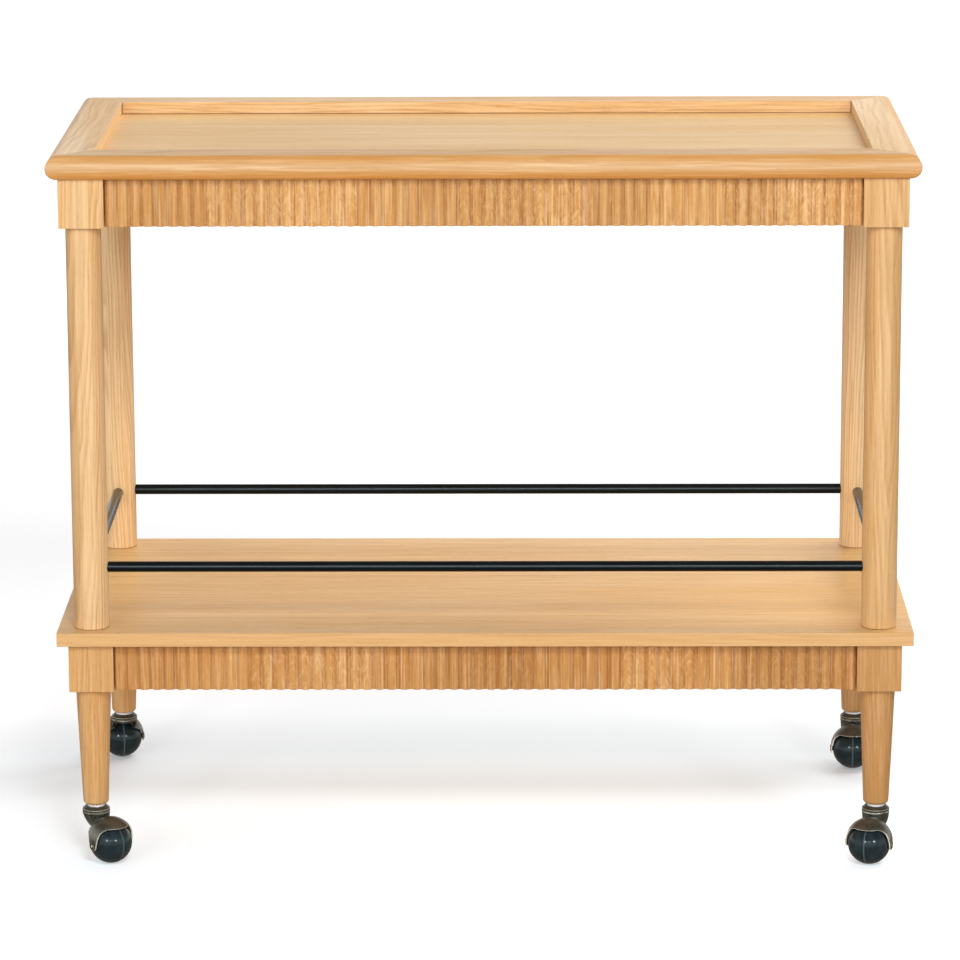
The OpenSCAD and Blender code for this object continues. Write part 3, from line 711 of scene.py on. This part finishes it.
# Facings and the frame behind them
# Level, its two tones, shift of seed, strength of the saw marks and of the painted shade in the flutes.
# The lower level's darker tones are painted shade
LEVELS = (
    ("upper", "#E3B77B", "#D29D5A", 0, 1.0, 0.25),
    ("lower", "#D6A669", "#C48D4E", 4, 0.85, 0.38),
)
for seed, side in enumerate(SIDES, 21):
    is_long = side in ("front", "back")
    for level, light, mid, shift, marks, flute_shade in LEVELS:
        dress_oak(
            f"{level}_reeds_{side}",
            "z",
            (0.01, 0.05),
            seed + shift,
            light=light,
            mid=mid,
            dark="#A86E2E",
            ring=0.0042,
            taper=0.05,
            wave=0.010,
            contrast=0.66,
            flecks=0.30,
            threads=0.48,
            reeds="front" if is_long else "side",
            marks=marks,
            groove=("y", CREST_Y, flute_shade) if is_long else ("x", CREST_X, flute_shade),
        )
        dress_oak(
            f"{level}_rail_{side}",
            "x" if is_long else "y",
            (0.1, 0.7),
            seed + 8,
            ring=0.0045,
            contrast=0.4,
            flecks=0.2,
        )
for level, seed in (("upper", 31), ("lower", 32)):
    dress_oak(level + "_braces", "x", (0.02, 0.4), seed, ring=0.0040, contrast=0.45, flecks=0.2)

# Metal and rubber
for seed, side in enumerate(SIDES, 1):
    dress("rod_" + side, rod_steel("rod_steel_" + side, seed))
zinc = plated("zinc", "#D9DADB", "#C4C6C8", 0.26, 0.8)
for node in ("caster_stems", "upper_brace_screws", "lower_brace_screws", "post_studs"):
    dress(node, zinc)
dress("caster_sockets", plated("nickel", "#F8F8F7", "#ECEDEE", 0.22, 0.5, 0.2))
dress("bearing_balls", plated("bright_steel", "#E4E4E2", "#D2D2D0", 0.10))
dress("stud_inserts", plated("brass", "#C9A75C", "#B28E45", 0.28, 0.8))
for seed, corner in enumerate(CORNERS, 1):
    for shift, kind in enumerate(("cap", "hood", "axle")):
        dress(f"{kind}_{corner}", bronze(f"bronze_{kind}_{corner}", corner, seed + 4 * shift, kind))
    dress("ball_" + corner, rubber("rubber_" + corner, corner, seed))

# Floor: half its width in metres, and how many squares it has along each side
FLOOR_REACH, FLOOR_SPLIT = 30.0, 12
# Its glow along Y, as (share of the way between these two places, strength). The glow is weakest in
# a band just behind the cart, which paints a pale band of shadow there.
GLOW_FROM, GLOW_TO = -1.0, 9.0
GLOW = [
    (0.049, 0.36),
    (0.078, 0.41),
    (0.091, 0.39),
    (0.102, 0.34),
    (0.108, 0.25),
    (0.116, 0.200),
    (0.125, 0.140),
    (0.135, 0.20),
    (0.142, 0.30),
    (0.149, 0.31),
    (0.203, 0.28),
    (0.227, 0.225),
    (0.243, 0.22),
    (0.267, 0.24),
    (0.303, 0.28),
    (0.386, 0.40),
    (0.489, 0.58),
    (0.619, 0.72),
    (0.869, 0.78),
]
ticks = [-FLOOR_REACH + 2 * FLOOR_REACH * i / FLOOR_SPLIT for i in range(FLOOR_SPLIT + 1)]
row = len(ticks)
grid = [(x, y, 0.0) for y in ticks for x in ticks]
starts = [row * j + i for j in range(FLOOR_SPLIT) for i in range(FLOOR_SPLIT)]
mesh = bpy.data.meshes.new("floor")
mesh.from_pydata(grid, [], [(a, a + 1, a + row + 1, a + row) for a in starts])
floor = bpy.data.objects.new("floor", mesh)
bpy.context.scene.collection.objects.link(floor)
s = Shader("floor")
glow = s.steps(s.span(s.split(s.place)[1], GLOW_FROM, GLOW_TO, smooth=False), GLOW)
# Far from the cart the glow is strong, painted light that keeps the floor white there
glow = s.math("MAXIMUM", glow, s.span(s.vector("LENGTH", s.place), 1.7, 3.6, 0.0, 0.78))
paper = s.blend(s.noise(s.place, (1.5, 1.5, 1.5)), "#F3F3F4", "#F7F7F7")
# Under and round the cart the floor is darker and cooler: painted shade, which also offsets the warm
# light thrown back by the wood
oval = s.vector("LENGTH", s.vector("MULTIPLY", s.place, (1.0, 1.4, 1.0)))
s.set(
    Base_Color=s.mix(s.span(oval, 0.35, 0.95, 1.0, 0.0), paper, (0.80, 0.895, 0.945, 1.0)),
    Roughness=0.7,
    Specular_IOR_Level=0.2,
    Emission_Color=(0.985, 1.0, 1.015, 1.0),
    Emission_Strength=glow,
)
mesh.materials.append(s.material)
floor.visible_diffuse = floor.visible_glossy = floor.visible_shadow = False

# World: a bright horizon, a darker ceiling and a dim warm ground, from straight down to straight up
SKY = [
    (0.0, (0.22, 0.19, 0.16)),
    (0.42, (0.26, 0.23, 0.20)),
    (0.50, (1.0, 0.98, 0.96)),
    (0.62, (1.04, 1.05, 1.06)),
    (0.76, (0.30, 0.30, 0.31)),
    (0.86, (0.10, 0.10, 0.105)),
]
scene = bpy.context.scene
world = bpy.data.worlds.new("studio")
scene.world = world
world.use_nodes = True
tree = world.node_tree
up = tree.nodes.new("ShaderNodeSeparateXYZ")
half = tree.nodes.new("ShaderNodeMath")
half.operation = "MULTIPLY_ADD"
half.inputs[1].default_value = half.inputs[2].default_value = 0.5
fade = tree.nodes.new("ShaderNodeValToRGB")
fill_ramp(fade.color_ramp, SKY)
tree.links.new(tree.nodes.new("ShaderNodeTexCoord").outputs["Generated"], up.inputs[0])
tree.links.new(up.outputs[2], half.inputs[0])
tree.links.new(half.outputs[0], fade.inputs[0])
tree.links.new(fade.outputs[0], tree.nodes["Background"].inputs["Color"])

# Soft boxes
SHINY = ("rod_", "cap_", "hood_", "axle_", "ball_", "caster_", "bearing_")
shiny = bpy.data.collections.new("shiny")
for node, piece in nodes.items():
    if node.startswith(SHINY):
        shiny.objects.link(piece)


def softbox(name, place, aim_z, size, watts, mirrored=False, colour=(1.0, 1.0, 1.0)):
    """A soft box at place, facing the cart's middle at height aim_z. One that is mirrored shines on the
    metal and rubber only, and shows in them. One that isn't leaves no highlight of its own."""
    lamp = bpy.data.lights.new(name, "AREA")
    lamp.shape = "ELLIPSE" if mirrored else "RECTANGLE"
    lamp.size, lamp.size_y = size
    lamp.energy, lamp.color = watts, colour
    box = bpy.data.objects.new(name, lamp)
    scene.collection.objects.link(box)
    box.visible_glossy, box.visible_camera = mirrored, False
    if mirrored:
        box.light_linking.receiver_collection = shiny
    facing = Vector((0.0, 0.0, aim_z)) - Vector(place)
    box.matrix_world = Matrix.Translation(place) @ facing.to_track_quat("-Z", "Y").to_matrix().to_4x4()


for kind, mirrored, strip_watts in (("shown_", True, 30), ("plain_", False, 18)):
    softbox(kind + "left", (-2.5, -6.1, 2.45), 0.4, (1.0, 1.0), 60, mirrored)
    softbox(kind + "right", (3.1, -5.8, 2.45), 0.4, (1.0, 1.0), 70, mirrored)
    softbox(kind + "strip", (0.2, -7.5, 2.75), 0.4, (3.2, 0.5), strip_watts, mirrored)
softbox("key", (0.5, -3.5, 3.0), 0.4, (1.0, 1.0), 78)
softbox("fill", (-2.6, -2.6, 1.4), 0.4, (1.6, 1.6), 19)
softbox("overhead", (1.7, 0.9, 2.8), 0.6, (1.6, 1.4), 36)
softbox("back", (0.6, 3.0, 2.6), 0.6, (2.6, 1.2), 44)
softbox("bounce", (0.0, -0.4, -1.5), 0.6, (3.0, 2.4), 26, colour=(1.0, 0.78, 0.56))

# Camera, fitted to the photograph: its place in metres, angles in degrees and focal length in pixels
CAMERA_PLACE = (0.05468, -5.66164, 1.73201)
YAW, PITCH_DOWN, ROLL = -0.6291, 13.0574, -0.2118
FOCAL_PX, PHOTO_PX, SENSOR_MM = 4737.44, 960.0, 36.0
yaw, pitch, roll = (math.radians(angle) for angle in (YAW, PITCH_DOWN, ROLL))
ahead = Vector((math.sin(yaw) * math.cos(pitch), math.cos(yaw) * math.cos(pitch), -math.sin(pitch)))
right = Vector((math.cos(yaw), -math.sin(yaw), 0.0))
above = right.cross(ahead)
side = right * math.cos(roll) + above * math.sin(roll)
top = above * math.cos(roll) - right * math.sin(roll)
lens = bpy.data.cameras.new("camera")
lens.sensor_width = SENSOR_MM
lens.lens = FOCAL_PX * SENSOR_MM / PHOTO_PX
lens.clip_start, lens.clip_end = 0.1, 100.0
camera = bpy.data.objects.new("camera", lens)
scene.collection.objects.link(camera)
rows = [[side[i], top[i], -ahead[i], place] for i, place in enumerate(CAMERA_PLACE)]
camera.matrix_world = Matrix(rows + [[0, 0, 0, 1]])
scene.camera = camera
scene.view_settings.view_transform = "Standard"
